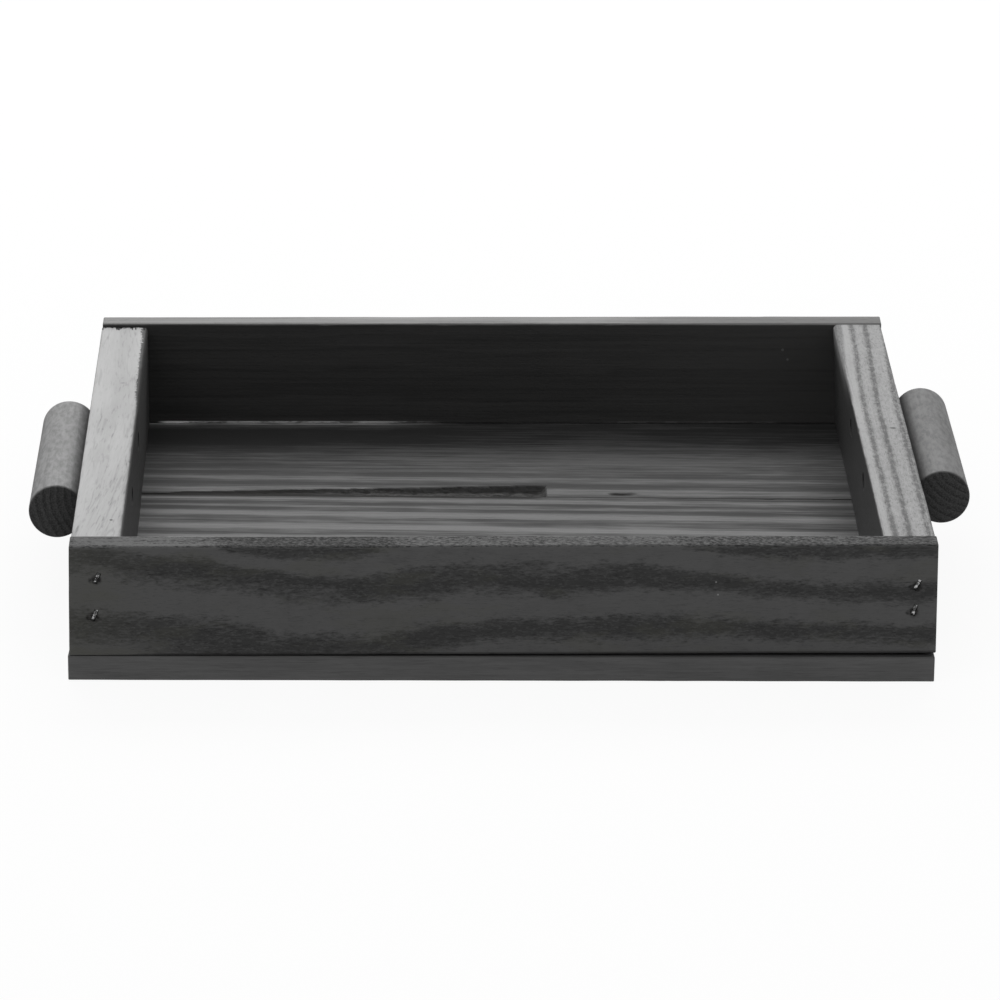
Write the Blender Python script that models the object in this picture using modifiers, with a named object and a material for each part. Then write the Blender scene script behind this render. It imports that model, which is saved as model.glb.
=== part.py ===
"""A dark-stained wooden tray, butt-jointed from planed stock.

Three planks make the bottom. Thin front and back boards and thick end blocks stand on it, a dowel handle is
screwed to the outside of each block, and staples hold the boards and planks. Metres, +Z up, the front faces -Y.
The origin is on the underside, in the middle of the tray.
"""

import math

import bmesh
import bpy
from mathutils import Matrix, Vector

# Tray as a whole
TRAY_LENGTH = 0.360
TRAY_DEPTH = 0.300
JOINT_GAP = 0.0003
EDGE_EASE = 0.0007
EDGE_SEGMENTS = 2

# Bottom planks, which sit a little to the left of the walls. Their joints come nearer to the front at the right
PLANK_THICKNESS = 0.011
PLANK_GAP = 0.0005
PLANK_SHIFT = -0.0008
MIDDLE_PLANK_WIDTH = 0.095
MIDDLE_PLANK_SHIFT = -0.005
JOINT_DRIFT = 0.0095

# Front and back boards
BOARD_THICKNESS = 0.0095
BACK_BOARD_HEIGHT = 0.0490
FRONT_BOARD_HEIGHT = 0.0486
FRONT_BOARD_RISE = 0.0012

# End blocks, set between the boards
LEFT_BLOCK_THICKNESS = 0.0200
RIGHT_BLOCK_THICKNESS = 0.0215
LEFT_BLOCK_HEIGHT = 0.0470
RIGHT_BLOCK_HEIGHT = 0.0486
BLOCK_INSET = 0.0006

# Handles: dowels with one planed side, each set by hand at its own height
HANDLE_DIAMETER = 0.024
HANDLE_LENGTH = 0.110
HANDLE_FLAT = 0.0012
HANDLE_EASE = 0.0008
HANDLE_SIDES = 48
LEFT_HANDLE_HEIGHT = 0.0315
RIGHT_HANDLE_HEIGHT = 0.0355
LEFT_HANDLE_SHIFT = -0.007
RIGHT_HANDLE_SHIFT = 0.0

# Staples
STAPLE_CROWN = 0.0057
STAPLE_LEG = 0.025
STAPLE_WIRE = 0.0010
STAPLE_WIDTH = 0.00125
STAPLE_SINK = 0.0006
STAPLE_CORNER_SHARE = 0.8
STAPLE_POINT_SHARE = 0.9
STAPLE_CLEARANCE = 0.0003
ARC_STEPS = 4

# Handle screws
SCREW_HEAD_DIAMETER = 0.0078
SCREW_SHANK_DIAMETER = 0.0038
SCREW_HEAD_RIM = 0.0004
SCREW_HEAD_CONE = 0.0022
SCREW_SINK = 0.0005
SCREW_END_MARGIN = 0.020
SCREW_BITE_SHARE = 0.55
SCREW_POINT = 0.005
SCREW_CLEARANCE = 0.0003
SCREW_SIDES = 24
RECESS_SPAN_SHARE = 0.56
RECESS_WIDTH_SHARE = 0.15
RECESS_DEPTH_SHARE = 0.7
RECESS_TAPER_SHARE = 0.45

# How far a cutter runs past the face that it opens
OVERRUN = 0.002

# Places of the staples in the front and back boards: end, level, share of the block's thickness from its
# outer face, share of the board's height from its lower edge, and lean from upright in degrees
FRONT_STAPLE_SHARES = (
    ("left", "upper", 0.52, 0.71, 24.0),
    ("left", "lower", 0.46, 0.37, 21.0),
    ("right", "upper", 0.37, 0.645, 28.0),
    ("right", "lower", 0.41, 0.415, 17.0),
)
BACK_STAPLE_SHARES = (
    ("left", "upper", 0.45, 0.68, -16.0),
    ("left", "lower", 0.50, 0.36, -25.0),
    ("right", "upper", 0.42, 0.70, -20.0),
    ("right", "lower", 0.48, 0.38, -12.0),
)

# Places of the staples in the underside: along each plank's width at its ends, and along the tray's half
# length where the outer planks meet the boards
END_STAPLE_SHARES = (0.3, 0.7)
END_STAPLE_DEPTH_SHARE = 0.72
SIDE_STAPLE_SHARES = (-0.55, 0.0, 0.55)

# Finishes: colour, roughness, metallic
STAIN = (0.045, 0.046, 0.049, 1.0)
PALE_STAIN = (0.075, 0.077, 0.082, 1.0)
BRIGHT_WIRE = (0.55, 0.55, 0.54, 1.0)
ZINC = (0.50, 0.50, 0.48, 1.0)

# Heights and planes that several pieces share
BOTTOM_TOP = PLANK_THICKNESS
WALL_FOOT = BOTTOM_TOP + JOINT_GAP
HALF_LENGTH = TRAY_LENGTH / 2
HALF_DEPTH = TRAY_DEPTH / 2
BLOCK_LENGTH = TRAY_DEPTH - 2 * (BOARD_THICKNESS + JOINT_GAP)
BLOCK_FACE = HALF_LENGTH - BLOCK_INSET
HANDLE_RADIUS = HANDLE_DIAMETER / 2
HANDLE_AXIS = BLOCK_FACE + JOINT_GAP + HANDLE_RADIUS - HANDLE_FLAT
FRONT_TURN = -math.asin(FRONT_BOARD_RISE / TRAY_LENGTH)

# Each end of the tray: its side of the X axis, its block's thickness, and its handle's height over the planks
# and place along Y
ENDS = {
    "left": (-1, LEFT_BLOCK_THICKNESS, LEFT_HANDLE_HEIGHT, LEFT_HANDLE_SHIFT),
    "right": (1, RIGHT_BLOCK_THICKNESS, RIGHT_HANDLE_HEIGHT, RIGHT_HANDLE_SHIFT),
}
BLOCK_HEIGHTS = {"left": LEFT_BLOCK_HEIGHT, "right": RIGHT_BLOCK_HEIGHT}

# Each plank's front and rear edge: its Y in the middle of the tray, and its drift along the tray's length
REAR_JOINT = MIDDLE_PLANK_SHIFT + MIDDLE_PLANK_WIDTH / 2
FRONT_JOINT = MIDDLE_PLANK_SHIFT - MIDDLE_PLANK_WIDTH / 2
HALF_GAP = PLANK_GAP / 2
PLANKS = {
    "front": ((-HALF_DEPTH, 0.0), (FRONT_JOINT - HALF_GAP, JOINT_DRIFT)),
    "middle": ((FRONT_JOINT + HALF_GAP, JOINT_DRIFT), (REAR_JOINT - HALF_GAP, JOINT_DRIFT)),
    "rear": ((REAR_JOINT + HALF_GAP, JOINT_DRIFT), (HALF_DEPTH, 0.0)),
}


def empty_scene():
    for obj in list(bpy.data.objects):
        bpy.data.objects.remove(obj, do_unlink=True)


def new_collection(name):
    collection = bpy.data.collections.new(name)
    bpy.context.scene.collection.children.link(collection)
    return collection


def finish(name, colour, roughness, metallic=0.0):
    material = bpy.data.materials.new(name)
    material.use_nodes = True
    shader = material.node_tree.nodes["Principled BSDF"]
    shader.inputs["Base Color"].default_value = colour
    shader.inputs["Roughness"].default_value = roughness
    shader.inputs["Metallic"].default_value = metallic
    material.diffuse_color = colour
    return material


def add_object(name, mesh, collection, material=None):
    obj = bpy.data.objects.new(name, mesh)
    collection.objects.link(obj)
    if material:
        mesh.materials.append(material)
    return obj


def add_cutter(name, mesh):
    cutter = add_object(name, mesh, cutters)
    cutter.hide_render = True
    cutter.display_type = "WIRE"
    return cutter


def cut(piece, cutter):
    modifier = piece.modifiers.new(cutter.name, "BOOLEAN")
    modifier.operation = "DIFFERENCE"
    modifier.solver = "EXACT"
    modifier.object = cutter


def ease_edges(piece, width, segments=EDGE_SEGMENTS):
    bevel = piece.modifiers.new("eased edges", "BEVEL")
    bevel.width = width
    bevel.segments = segments
    bevel.limit_method = "ANGLE"


def box_mesh(name, size):
    shape = bmesh.new()
    bmesh.ops.create_cube(shape, size=1)
    bmesh.ops.scale(shape, vec=size, verts=shape.verts)
    mesh = bpy.data.meshes.new(name)
    shape.to_mesh(mesh)
    shape.free()
    return mesh


def planed_piece(name, size, centre, material, turn=0.0):
    """A planed board or block with its edges eased."""
    piece = add_object(name, box_mesh(name, size), parts, material)
    piece.location = centre
    piece.rotation_euler.y = turn
    ease_edges(piece, EDGE_EASE)
    return piece


def edge_at(edge, x):
    """The Y of a plank's edge at a place along the tray."""
    middle, drift = edge
    return middle - drift * x / TRAY_LENGTH


def driven(point, outward, across):
    """The frame of a fastener driven in at a point: Z points back out, X lies along its crown."""
    z = Vector(outward).normalized()
    x = Vector(across).normalized()
    y = z.cross(x)
    frame = Matrix((x, y, z)).transposed().to_4x4()
    frame.translation = Vector(point)
    return frame


def arc(centre_x, centre_z, radius, start):
    """Points of a quarter circle, clockwise from a start angle in quarter turns."""
    angles = [(start - step / ARC_STEPS) * math.pi / 2 for step in range(ARC_STEPS + 1)]
    return [(centre_x + radius * math.cos(a), centre_z + radius * math.sin(a)) for a in angles]


def staple_outline(grow, top, corner):
    """The outline of a staple in X and Z, its crown's outer face at Z 0, grown by a clearance."""
    outer = STAPLE_CROWN / 2 + grow
    inner = STAPLE_CROWN / 2 - STAPLE_WIRE - grow
    under = -STAPLE_WIRE - grow
    tip = -STAPLE_LEG - grow
    shoulder = tip + STAPLE_WIRE * STAPLE_POINT_SHARE
    right = [(outer, tip), (inner, shoulder), (inner, under)]
    left = [(-x, z) for x, z in reversed(right)]
    crown = arc(-outer + corner, top - corner, corner, 2) + arc(outer - corner, top - corner, corner, 1)
    return right + left + crown


def plate_mesh(name, outline, thickness):
    """A closed plate from an outline in X and Z, half of its thickness to each side of Y 0."""
    curve = bpy.data.curves.new(name, "CURVE")
    curve.dimensions = "2D"
    curve.fill_mode = "BOTH"
    curve.extrude = thickness / 2
    spline = curve.splines.new("POLY")
    spline.points.add(len(outline) - 1)
    for point, (x, z) in zip(spline.points, outline):
        point.co = (x, z, 0.0, 1.0)
    spline.use_cyclic_u = True
    guide = bpy.data.objects.new(name, curve)
    cutters.objects.link(guide)
    bpy.context.view_layer.update()
    mesh = bpy.data.meshes.new_from_object(guide.evaluated_get(bpy.context.evaluated_depsgraph_get()))
    bpy.data.objects.remove(guide, do_unlink=True)
    bpy.data.curves.remove(curve)
    mesh.transform(Matrix.Rotation(math.pi / 2, 4, "X"))
    shape = bmesh.new()
    shape.from_mesh(mesh)
    bmesh.ops.remove_doubles(shape, verts=shape.verts, dist=STAPLE_CLEARANCE / 10)
    bmesh.ops.recalc_face_normals(shape, faces=shape.faces)
    shape.to_mesh(mesh)
    shape.free()
    mesh.name = name
    return mesh


def drive_staple(name, frame, pieces):
    """One staple in its own slot, cut through each piece that it holds."""
    staple = add_object(name, staple_mesh.copy(), parts)
    staple.matrix_world = frame @ Matrix.Translation((0.0, 0.0, -STAPLE_SINK))
    slot = add_cutter(f"{name}_slot", staple_slot_mesh)
    slot.matrix_world = staple.matrix_world
    for piece in pieces:
        cut(piece, slot)


def turned_mesh(name, profile, sides):
    """A turned solid from a profile of radius and height, listed from its top to its bottom."""
    mesh = bpy.data.meshes.new(name)
    points = [(radius, 0.0, height) for radius, height in profile]
    mesh.from_pydata(points, [(i, i + 1) for i in range(len(points) - 1)], [])
    guide = bpy.data.objects.new(name, mesh)
    cutters.objects.link(guide)
    turn = guide.modifiers.new("turned", "SCREW")
    turn.steps = sides
    turn.render_steps = sides
    turn.use_merge_vertices = True
    turn.merge_threshold = SCREW_CLEARANCE / 10
    turn.use_normal_calculate = True
    bpy.context.view_layer.update()
    solid = bpy.data.meshes.new_from_object(guide.evaluated_get(bpy.context.evaluated_depsgraph_get()))
    bpy.data.objects.remove(guide, do_unlink=True)
    shape = bmesh.new()
    shape.from_mesh(solid)
    bmesh.ops.recalc_face_normals(shape, faces=shape.faces)
    shape.to_mesh(solid)
    shape.free()
    solid.name = name
    return solid


def screw_profile(length, grow, top):
    """A countersunk screw's profile, its head's flat at height 0, grown by a clearance."""
    head = SCREW_HEAD_DIAMETER / 2 + grow
    shank = SCREW_SHANK_DIAMETER / 2 + grow
    neck = -SCREW_HEAD_RIM - SCREW_HEAD_CONE
    return (
        (0.0, top),
        (head, top),
        (head, -SCREW_HEAD_RIM),
        (shank, neck),
        (shank, -length + SCREW_POINT),
        (0.0, -length - grow),
    )


def recess_blade(name, quarter):
    """One tapered blade of the cross recess, widest at the head's flat."""
    depth = (SCREW_HEAD_RIM + SCREW_HEAD_CONE) * RECESS_DEPTH_SHARE
    span = SCREW_HEAD_DIAMETER * RECESS_SPAN_SHARE
    width = SCREW_HEAD_DIAMETER * RECESS_WIDTH_SHARE
    shape = bmesh.new()
    bmesh.ops.create_cube(shape, size=1)
    for vert in shape.verts:
        share = RECESS_TAPER_SHARE if vert.co.z < 0 else 1.0
        vert.co.x *= span * share
        vert.co.y *= width
        vert.co.z = -depth if vert.co.z < 0 else OVERRUN
    bmesh.ops.rotate(shape, matrix=Matrix.Rotation(quarter * math.pi / 2, 3, "Z"), verts=shape.verts)
    mesh = bpy.data.meshes.new(name)
    shape.to_mesh(mesh)
    shape.free()
    return mesh


def drive_screw(name, frame, length, turn, pieces):
    """One countersunk screw with a cross recess, in a sunk hole through each piece that it holds."""
    place = frame @ Matrix.Translation((0.0, 0.0, -SCREW_SINK)) @ Matrix.Rotation(turn, 4, "Z")
    screw = add_object(name, turned_mesh(name, screw_profile(length, 0.0, 0.0), SCREW_SIDES), parts, zinc)
    screw.matrix_world = place
    screw.data.shade_smooth()
    screw.data.set_sharp_from_angle(angle=math.radians(35))
    for quarter in range(2):
        blade = add_cutter(f"{name}_recess_{quarter}", recess_blade(f"{name}_recess", quarter))
        blade.matrix_world = place
        cut(screw, blade)
    profile = screw_profile(length, SCREW_CLEARANCE, SCREW_SINK + OVERRUN)
    hole = add_cutter(f"{name}_hole", turned_mesh(f"{name}_hole", profile, SCREW_SIDES))
    hole.matrix_world = place
    for piece in pieces:
        cut(piece, hole)


def make_bottom():
    """Three planks side by side, each a box whose long edges are moved to the plank's own edges."""
    planks = {}
    for place, (front_edge, rear_edge) in PLANKS.items():
        name = f"bottom_plank_{place}"
        size = (TRAY_LENGTH, TRAY_DEPTH, PLANK_THICKNESS)
        plank = planed_piece(name, size, (PLANK_SHIFT, 0.0, PLANK_THICKNESS / 2), dark_wood)
        for vert in plank.data.vertices:
            vert.co.y = edge_at(rear_edge if vert.co.y > 0 else front_edge, vert.co.x)
        planks[place] = plank
    return planks


def make_boards():
    """The front board's lower left edge stands on the bottom and its right end is a little high."""
    half_thickness = BOARD_THICKNESS / 2
    to_middle = Matrix.Rotation(FRONT_TURN, 3, "Y") @ Vector((HALF_LENGTH, 0.0, FRONT_BOARD_HEIGHT / 2))
    front = planed_piece(
        "front_board",
        (TRAY_LENGTH, BOARD_THICKNESS, FRONT_BOARD_HEIGHT),
        (-HALF_LENGTH + to_middle.x, -HALF_DEPTH + half_thickness, WALL_FOOT + to_middle.z),
        dark_wood,
        FRONT_TURN,
    )
    back = planed_piece(
        "back_board",
        (TRAY_LENGTH, BOARD_THICKNESS, BACK_BOARD_HEIGHT),
        (0.0, HALF_DEPTH - half_thickness, WALL_FOOT + BACK_BOARD_HEIGHT / 2),
        dark_wood,
    )
    return front, back


def make_block(end):
    side, thickness, _, _ = ENDS[end]
    height = BLOCK_HEIGHTS[end]
    size = (thickness, BLOCK_LENGTH, height)
    centre = (side * (BLOCK_FACE - thickness / 2), 0.0, WALL_FOOT + height / 2)
    return planed_piece(f"{end}_end_block", size, centre, pale_wood)


def make_handle(end):
    """A dowel along Y whose planed side lies against the block."""
    side, _, height, shift = ENDS[end]
    name = f"{end}_handle"
    shape = bmesh.new()
    bmesh.ops.create_cone(
        shape,
        cap_ends=True,
        segments=HANDLE_SIDES,
        radius1=HANDLE_RADIUS,
        radius2=HANDLE_RADIUS,
        depth=HANDLE_LENGTH,
    )
    bmesh.ops.rotate(shape, matrix=Matrix.Rotation(math.pi / 2, 3, "X"), verts=shape.verts)
    mesh = bpy.data.meshes.new(name)
    shape.to_mesh(mesh)
    shape.free()
    handle = add_object(name, mesh, parts, pale_wood)
    centre = Vector((side * HANDLE_AXIS, shift, BOTTOM_TOP + height))
    handle.location = centre
    mesh.shade_smooth()
    mesh.set_sharp_from_angle(angle=math.radians(35))
    ease_edges(handle, HANDLE_EASE, EDGE_SEGMENTS + 1)
    plane_size = (HANDLE_RADIUS, HANDLE_LENGTH + OVERRUN, HANDLE_DIAMETER + OVERRUN)
    plane = add_cutter(f"{name}_planed_side", box_mesh(f"{name}_planed_side", plane_size))
    to_flat = HANDLE_RADIUS - HANDLE_FLAT + HANDLE_RADIUS / 2
    plane.location = centre - Vector((side * to_flat, 0.0, 0.0))
    cut(handle, plane)
    return handle


def staple_boards(board, blocks, face, foot, height, places):
    """Staples through the front (face -1) or back (face 1) board into the end blocks."""
    side_name = "front" if face < 0 else "back"
    for end, level, depth_share, height_share, lean in places:
        side, thickness, _, _ = ENDS[end]
        x = side * (BLOCK_FACE - thickness * depth_share)
        lean_angle = math.radians(lean)
        point = (x, face * HALF_DEPTH, foot + height * height_share)
        frame = driven(point, (0, face, 0), (math.sin(lean_angle), 0, math.cos(lean_angle)))
        drive_staple(f"{side_name}_staple_{end}_{level}", frame, (board, blocks[end]))


def staple_bottom(planks, blocks, front, back):
    """Staples up through the planks, into the end blocks and into the boards."""
    underside = (0, 0, -1)
    for place, plank in planks.items():
        for end, (side, thickness, _, _) in ENDS.items():
            x = side * (BLOCK_FACE - thickness * END_STAPLE_DEPTH_SHARE)
            front_edge, rear_edge = [edge_at(edge, x) for edge in PLANKS[place]]
            for number, share in enumerate(END_STAPLE_SHARES, 1):
                frame = driven((x, front_edge + (rear_edge - front_edge) * share, 0.0), underside, (0, 1, 0))
                drive_staple(f"bottom_staple_{end}_{place}_{number}", frame, (plank, blocks[end]))
    runs = (("front", -1, planks["front"], front), ("back", 1, planks["rear"], back))
    for name, face, plank, board in runs:
        y = face * (HALF_DEPTH - BOARD_THICKNESS / 2)
        for number, share in enumerate(SIDE_STAPLE_SHARES, 1):
            frame = driven((HALF_LENGTH * share, y, 0.0), underside, (1, 0, 0))
            drive_staple(f"bottom_staple_{name}_{number}", frame, (plank, board))


def screw_handle(end, block, handle):
    """Two screws from the block's inner face into the dowel."""
    side, thickness, height, shift = ENDS[end]
    bite = (HANDLE_DIAMETER - HANDLE_FLAT) * SCREW_BITE_SHARE
    length = thickness + JOINT_GAP + bite - SCREW_SINK
    for number, step in enumerate((-1, 1), 1):
        y = shift + step * (HANDLE_LENGTH / 2 - SCREW_END_MARGIN)
        point = (side * (BLOCK_FACE - thickness), y, BOTTOM_TOP + height)
        frame = driven(point, (-side, 0, 0), (0, 1, 0))
        drive_screw(f"{end}_handle_screw_{number}", frame, length, math.radians(25 * number), (block, handle))


empty_scene()
parts = new_collection("tray")
cutters = new_collection("cutters")

dark_wood = finish("dark_stained_wood", STAIN, 0.55)
pale_wood = finish("rubbed_stained_wood", PALE_STAIN, 0.5)
bright_wire = finish("staple_wire", BRIGHT_WIRE, 0.35, 1.0)
zinc = finish("zinc_screw", ZINC, 0.4, 1.0)

corner_radius = STAPLE_WIRE * STAPLE_CORNER_SHARE
staple_mesh = plate_mesh("staple", staple_outline(0.0, 0.0, corner_radius), STAPLE_WIDTH)
staple_mesh.materials.append(bright_wire)
slot_outline = staple_outline(STAPLE_CLEARANCE, STAPLE_SINK + OVERRUN, corner_radius)
staple_slot_mesh = plate_mesh("staple_slot", slot_outline, STAPLE_WIDTH + 2 * STAPLE_CLEARANCE)

bottom = make_bottom()
front_board, back_board = make_boards()
end_blocks = {end: make_block(end) for end in ENDS}
handles = {end: make_handle(end) for end in ENDS}
staple_boards(front_board, end_blocks, -1, WALL_FOOT, FRONT_BOARD_HEIGHT, FRONT_STAPLE_SHARES)
staple_boards(back_board, end_blocks, 1, WALL_FOOT, BACK_BOARD_HEIGHT, BACK_STAPLE_SHARES)
staple_bottom(bottom, end_blocks, front_board, back_board)
for end in ENDS:
    screw_handle(end, end_blocks[end], handles[end])
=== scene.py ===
"""A black-stained wooden tray on a pale studio sweep.

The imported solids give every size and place. The boards, blocks, planks and dowel handles are lofted again
here with worn arrises, sawn ends and open grain, and the staples and screws keep their solids and get a
steel finish. The pieces' lengths are millimetres until a mesh is made, and the studio's are metres.
"""

import functools
import math

import bmesh
import bpy
from mathutils import Matrix, Vector, noise


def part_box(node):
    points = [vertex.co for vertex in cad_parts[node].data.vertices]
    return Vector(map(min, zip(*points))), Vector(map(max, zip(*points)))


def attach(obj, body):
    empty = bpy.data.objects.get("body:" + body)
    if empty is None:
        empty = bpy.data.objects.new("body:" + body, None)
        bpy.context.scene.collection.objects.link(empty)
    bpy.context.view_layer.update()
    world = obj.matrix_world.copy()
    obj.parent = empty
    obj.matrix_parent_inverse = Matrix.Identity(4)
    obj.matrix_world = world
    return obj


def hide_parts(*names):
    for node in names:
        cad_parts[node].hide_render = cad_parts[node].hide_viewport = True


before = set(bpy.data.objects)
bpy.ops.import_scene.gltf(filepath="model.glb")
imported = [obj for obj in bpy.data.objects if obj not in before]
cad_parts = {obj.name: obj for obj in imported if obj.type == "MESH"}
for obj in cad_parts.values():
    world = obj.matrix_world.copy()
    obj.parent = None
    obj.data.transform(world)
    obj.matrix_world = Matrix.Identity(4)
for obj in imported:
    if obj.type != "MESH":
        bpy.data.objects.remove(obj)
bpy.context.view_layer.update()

MM = 0.001

# Camera: a long lens a little left of the tray's middle
CAMERA_PLACE = (-0.0498, -2.3277, 0.8839)
CAMERA_YAW = math.radians(1.25)
CAMERA_PITCH = math.radians(20.25)
CAMERA_ROLL = math.radians(0.44)
SENSOR_WIDTH = 36.0
LENS = 202.6

# Studio
WHITE = (1.0, 1.0, 1.0, 1.0)
FLOOR_TONE = (0.86, 0.86, 0.86, 1.0)
FLOOR_GLOW_SHARE = 0.92
FLOOR_SIZE = 12.0
FLOOR_HEIGHT = -0.0002
SKY_LEVEL = 0.62
KEY_LIGHT_POWER = 6.0
BACK_LIGHT_POWER = 32.0

# How the boards were sawn and nailed on: the front board's right end is high, the back board's foot is
# pressed down onto the planks, and rims and ends aren't square
FRONT_RISE = 1.2
FRONT_RIM = ((-0.45, -0.45), (0.95, -0.05))
FRONT_END_CUTS = ((-0.9, -0.1), (0.2, -0.1))
BACK_RIM = ((-0.4, -0.1), (-0.35, 0.3))
BACK_SINK = 0.25

# How chipped each board's arrises are, and how much rounder its front foot and its front rim are
FRONT_WEAR = (0.9, 0.3, 0.5)
BACK_WEAR = (0.25, 0.0, 0.2)

# How far each end block's top reaches past its foot, outwards and inwards, and how far to the right the foot
# of its inner face is, at the front and the rear end
BLOCK_SPREADS = {"left": (0.9, 0.2), "right": (0.0, 0.3)}
FOOT_SHIFTS = {"left": (1.3, 0.3), "right": (0.8, 2.0)}

# The saw's teeth in the left block's rear end: how far in, how far down and how long
TEETH_REACH = 2.5
TEETH_HEIGHT = 3.0
TEETH_LENGTH = 1.6

# How much deeper the left handle's flat is cut
LEFT_FLAT_CUT = 0.45

# How far back the front plank's front edge lies at the left and the right end, how far to the right its left
# front corner and its right end lie, and how far behind the edge the plank is true again
FRONT_EDGE_SHIFTS = (0.7, -1.8)
FRONT_CORNER_SHIFT = -0.95
FRONT_END_SHIFT = 0.5
FRONT_EDGE_REACH = 30.0

# The planks' grain runs a little off the tray's length, and more so towards the front
FLOOR_SLOPE = 0.0288
FLOOR_FAN = 0.0003

# The strip torn from the rear plank's front edge, from its left end to its right end, and the gouge beside it
TORN_START, TORN_END = -150.0, 22.0
TORN_WIDTHS = (1.8, 15.0)
TORN_DEPTHS = (0.4, 3.0)
GOUGE_PLACE = (57.0, 45.8)
GOUGE_REACH = (8.0, 1.9)
GOUGE_DEPTH = 1.4

# Lofting: the step along the grain, the steps round an arris and the line beside it, the rounding of ends,
# the least radius, how wavy a face is, and from what angle an edge is sharp
STEP = 2.4
ARC_STEPS = 3
SUPPORT = 0.5
END_ROUND = 0.55
LEAST_ROUND = 0.08
FACE_WAVE = 0.09
SHARP_ANGLE = math.radians(38)


def wander(u, v, w, rate, seed):
    """A smooth value from -1 to 1 that drifts slowly along the grain."""
    return noise.noise(Vector((u * rate, v * rate * 3.0, w * rate * 3.0 + seed * 7.3)))


def even(count):
    return [number / count for number in range(1, count)]


def blend(first, last, share):
    return first + (last - first) * share


def end_weights(share):
    """How near the left and the right end a place is: 1 at the end, 0 from an eighth of the length away."""
    return max(0.0, 1.0 - share * 8.0), max(0.0, share * 8.0 - 7.0)


def rounded_section(low, high, rounds, splits, shrink):
    """Places round a section: across, up, outward direction, and 1 on an arris or 0 on a face.

    rounds are the corner radii from the low corner, turning from across to up, and splits are shares of each
    side.
    """
    low = Vector(low) + Vector((shrink, shrink))
    high = Vector(high) - Vector((shrink, shrink))
    rounds = [max(radius - shrink, LEAST_ROUND) for radius in rounds]
    corners = [low, Vector((high.x, low.y)), high, Vector((low.x, high.y))]
    places = []
    for side in range(4):
        start, end = corners[side], corners[(side + 1) % 4]
        run = (end - start).normalized()
        out = Vector((run.y, -run.x))
        first = rounds[side]
        last = (end - start).length - rounds[(side + 1) % 4]
        shares = [(blend(first, last, share), 0.0) for share in splits[side]]
        for distance, worn in [(first + SUPPORT, 0.0), *shares, (last - SUPPORT, 0.0)]:
            places.append((start + run * distance, out, worn))
        radius = rounds[(side + 1) % 4]
        centre = end - run * radius - out * radius
        for step in range(ARC_STEPS + 1):
            angle = step / ARC_STEPS * math.pi / 2
            direction = out * math.cos(angle) + run * math.sin(angle)
            places.append((centre + direction * radius, direction, 1.0))
    return places


def stations(start, end, ease=END_ROUND, step=STEP):
    """Places along the grain, each with how far the section shrinks there to round the ends."""
    length = end - start - 2 * ease
    count = max(2, round(length / step))
    angles = (0.0, math.pi / 6, math.pi / 3, math.pi / 2)
    turns = [(1 - math.cos(angle), 1 - math.sin(angle)) for angle in angles]
    head = [(start + ease * depth, ease * inset) for depth, inset in turns]
    middle = [(start + ease + length * number / count, 0.0) for number in range(1, count)]
    tail = [(end - ease * depth, ease * inset) for depth, inset in reversed(turns)]
    return head + middle + tail


def add_object(name, data):
    made = bpy.data.objects.new(name, data)
    bpy.context.scene.collection.objects.link(made)
    return made


def loft(name, along, places, section, tune):
    """A closed mesh of section(u, shrink) rings, shifted along, across and up by tune(u, v, w, out)."""
    shape = bmesh.new()
    worn_layer = shape.verts.layers.float.new("worn")
    rings = []
    for u, shrink in places:
        ring = []
        for place, out, worn in section(u, shrink):
            shift = tune(u, place.x, place.y, out)
            u_new, v, w = u + shift[0], place.x + shift[1], place.y + shift[2]
            co = (u_new, v, w) if along == "x" else (v, u_new, w)
            vert = shape.verts.new([value * MM for value in co])
            vert[worn_layer] = 1.0 if shrink > 0.0 else worn
            ring.append(vert)
        rings.append(ring)
    count = len(rings[0])
    for first, second in zip(rings, rings[1:]):
        for number in range(count):
            after = (number + 1) % count
            shape.faces.new((first[number], first[after], second[after], second[number]))
    caps = [shape.faces.new(ring) for ring in (rings[0], rings[-1])]
    bmesh.ops.triangulate(shape, faces=caps)
    bmesh.ops.recalc_face_normals(shape, faces=shape.faces)
    mesh = bpy.data.meshes.new(name)
    shape.to_mesh(mesh)
    shape.free()
    mesh.shade_smooth()
    return add_object(name, mesh)


def box_mm(node):
    low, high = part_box(node)
    return Vector(low) / MM, Vector(high) / MM


# The direction from which a fastener was driven, by the first word of its name
DRIVEN_FROM = {
    "front": Vector((0, -1, 0)),
    "back": Vector((0, 1, 0)),
    "bottom": Vector((0, 0, -1)),
    "left": Vector((1, 0, 0)),
    "right": Vector((-1, 0, 0)),
}


def staple_slot(fastener):
    """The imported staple's own form, grown a little and opened towards the face that it was driven from."""
    grow, reach, tear, crown_depth = 0.3 * MM, 2.0 * MM, 0.7 * MM, 0.05 * MM
    out = DRIVEN_FROM[fastener.split("_")[0]]
    shape = bmesh.new()
    shape.from_mesh(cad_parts[fastener].data)
    bmesh.ops.remove_doubles(shape, verts=shape.verts, dist=1e-6)
    shape.normal_update()
    top = max(vert.co.dot(out) for vert in shape.verts)
    crown = [vert for vert in shape.verts if vert.co.dot(out) > top - crown_depth]
    middle = sum((vert.co for vert in crown), Vector()) / len(crown)
    places = [vert.co + vert.normal * grow * vert.calc_shell_factor() for vert in shape.verts]
    for vert, place in zip(shape.verts, places):
        if vert in crown:
            away = (vert.co - middle) - out * (vert.co - middle).dot(out)
            place = place + out * reach + away.normalized() * tear * (0.6 + abs(noise.noise(vert.co * 900.0)))
        vert.co = place
    return shape


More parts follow.
